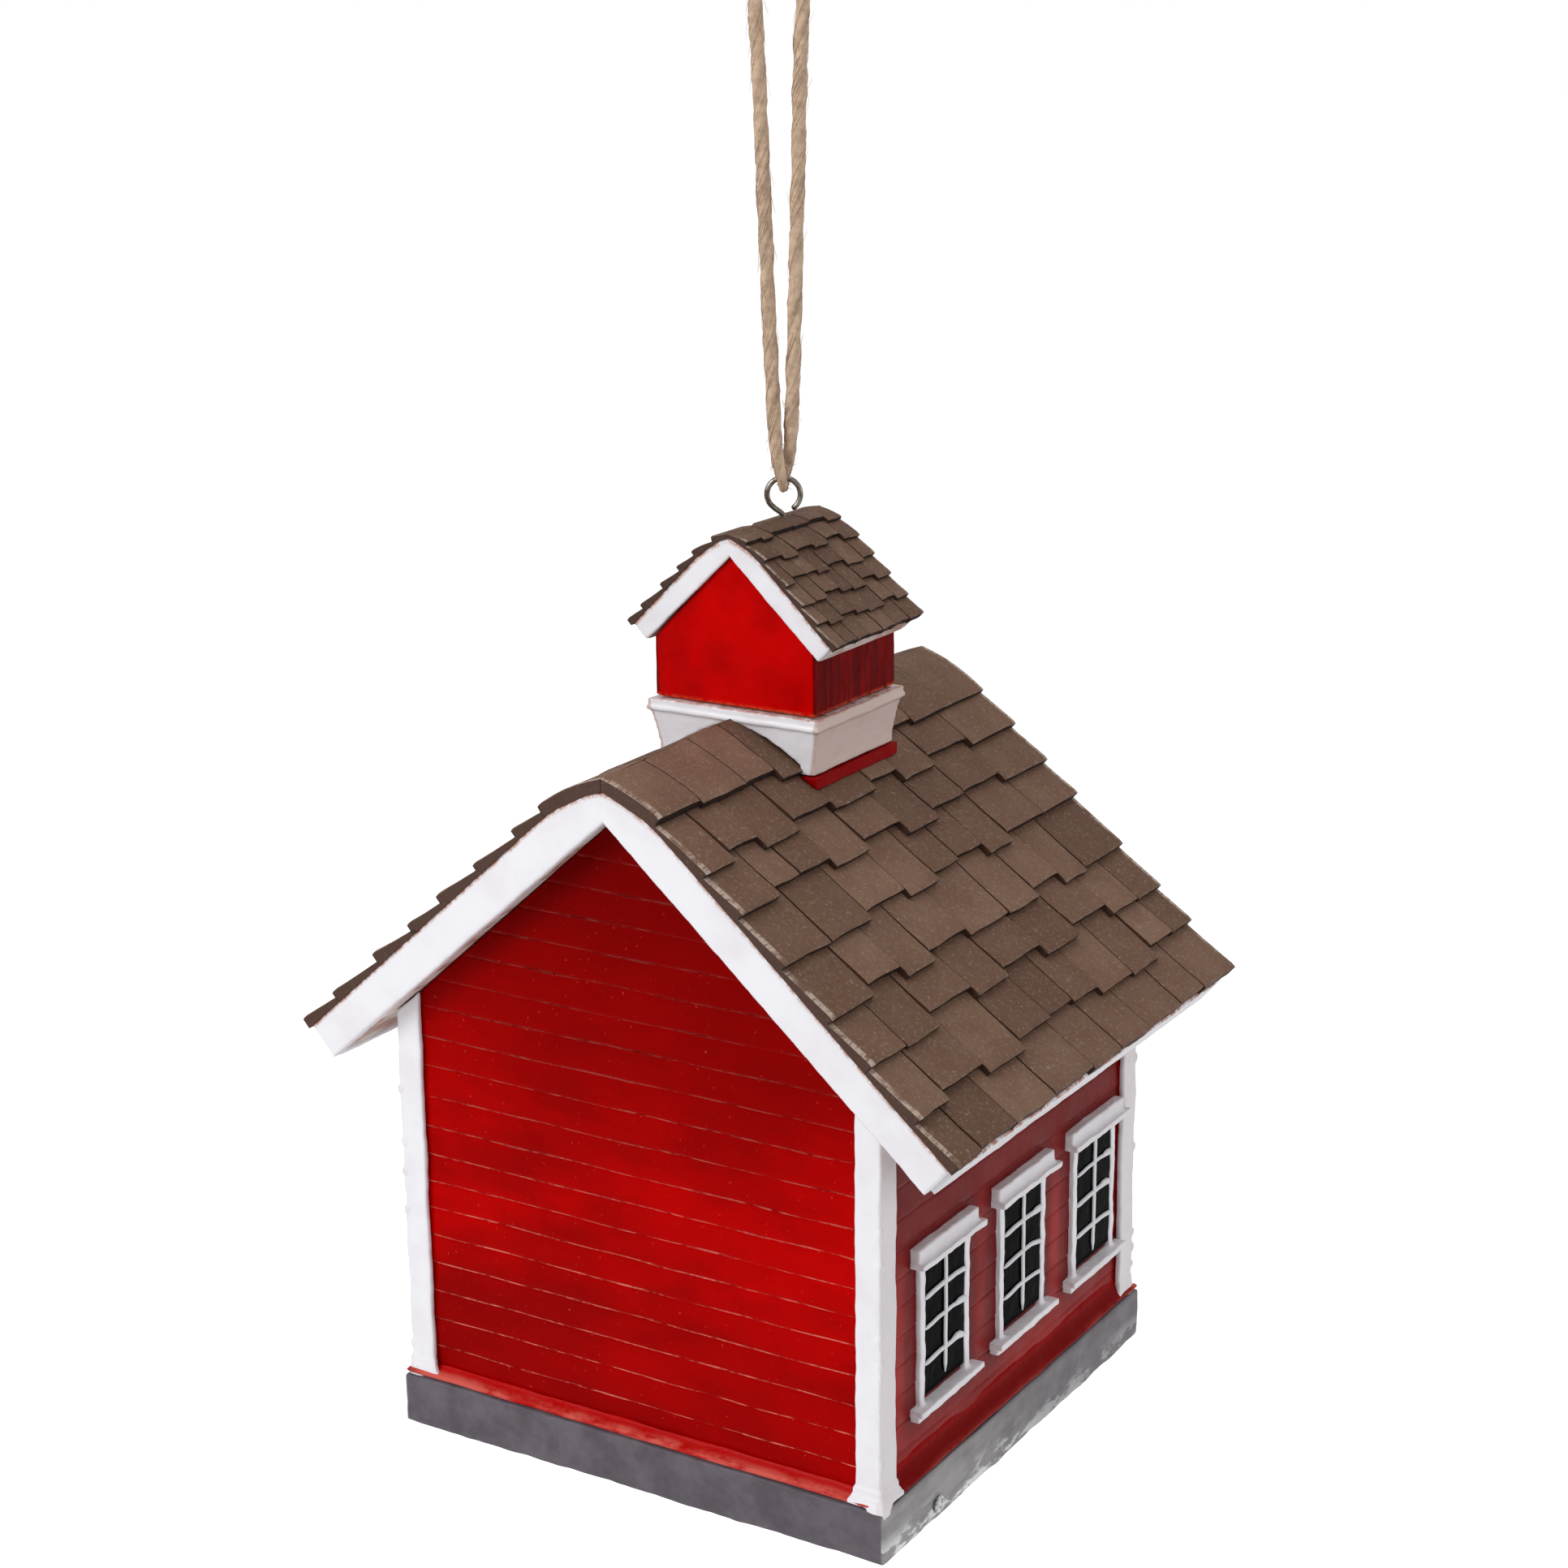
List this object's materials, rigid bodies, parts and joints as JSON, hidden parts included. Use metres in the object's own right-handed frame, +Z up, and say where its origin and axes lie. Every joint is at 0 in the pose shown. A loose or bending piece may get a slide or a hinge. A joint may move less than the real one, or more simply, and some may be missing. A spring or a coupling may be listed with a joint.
{
  "type": "birdhouse",
  "caption": "Hanging schoolhouse birdhouse with shingled roof, cupola, side windows, entrance hole, drop-down clean-out floor and a screw eye on a twine loop.",
  "frame": {"origin": "the point under the top of the twine loop where its hook bears, on the vertical line through the screw eye", "axes": "+Z up; +X towards the right-hand row of windows when facing the blank gable; +Y from the blank gable to the entrance gable"},
  "size_m": [0.1886, 0.1536, 0.3866],
  "materials": {
    "red_paint": "hand-painted glossy red on cast resin",
    "white_paint": "hand-painted satin white on cast resin",
    "shingle_brown": "matte brown with a light dusting",
    "plinth_grey": "satin charcoal grey with chalky scuffs",
    "pane_black": "glossy black",
    "eye_steel": "nickel-plated wire",
    "knob_gold": "painted gold",
    "jute": "natural jute twine, fuzzy"
  },
  "bodies": {
    "twine": {"jute_loop": "jute", "loop_knot": "jute"},
    "house": {"plinth": "plinth_grey", "sill_band": "red_paint", "floor_pin_left": "eye_steel", "floor_pin_right": "eye_steel", "wall_gable_front": "red_paint", "wall_gable_rear": "red_paint", "wall_side_left": "red_paint", "wall_side_right": "red_paint", "corner_board_front_left": "white_paint", "corner_board_front_right": "white_paint", "corner_board_rear_left": "white_paint", "corner_board_rear_right": "white_paint", "roof_panel_left": "red_paint", "eave_fascia_left": "white_paint", "shingles_left": "shingle_brown", "barge_board_front_left": "white_paint", "barge_board_rear_left": "white_paint", "roof_panel_right": "red_paint", "eave_fascia_right": "white_paint", "shingles_right": "shingle_brown", "barge_board_front_right": "white_paint", "barge_board_rear_right": "white_paint", "window_left_1_casing": "white_paint", "window_left_1_pane": "pane_black", "window_left_1_muntins": "white_paint", "window_left_2_casing": "white_paint", "window_left_2_pane": "pane_black", "window_left_2_muntins": "white_paint", "window_left_3_casing": "white_paint", "window_left_3_pane": "pane_black", "window_left_3_muntins": "white_paint", "window_right_1_casing": "white_paint", "window_right_1_pane": "pane_black", "window_right_1_muntins": "white_paint", "window_right_2_casing": "white_paint", "window_right_2_pane": "pane_black", "window_right_2_muntins": "white_paint", "window_right_3_casing": "white_paint", "window_right_3_pane": "pane_black", "window_right_3_muntins": "white_paint", "door_frame": "white_paint", "door_slab": "red_paint", "door_knob": "knob_gold", "entrance_ring": "white_paint", "cupola_skirt": "white_paint", "cupola_curb_left": "red_paint", "cupola_curb_right": "red_paint", "cupola_body": "red_paint", "cupola_deck": "shingle_brown", "cupola_shingles_left": "shingle_brown", "cupola_barge_front_left": "white_paint", "cupola_barge_rear_left": "white_paint", "cupola_shingles_right": "shingle_brown", "cupola_barge_front_right": "white_paint", "cupola_barge_rear_right": "white_paint", "screw_eye": "eye_steel"},
    "floor": {"floor_door": "plinth_grey"}
  },
  "joints": [
    {"name": "loop_swing", "type": "hinge", "parent": "twine", "child": "house", "pos_m": [0, 0, -0.1444], "axis": [0.4695, -0.8829, 0], "range_deg": [-25, 25]},
    {"name": "floor_hinge", "type": "hinge", "parent": "house", "child": "floor", "pos_m": [0, -0.04936, -0.37896], "axis": [-1, 0, 0], "range_deg": [0, 95]}
  ]
}
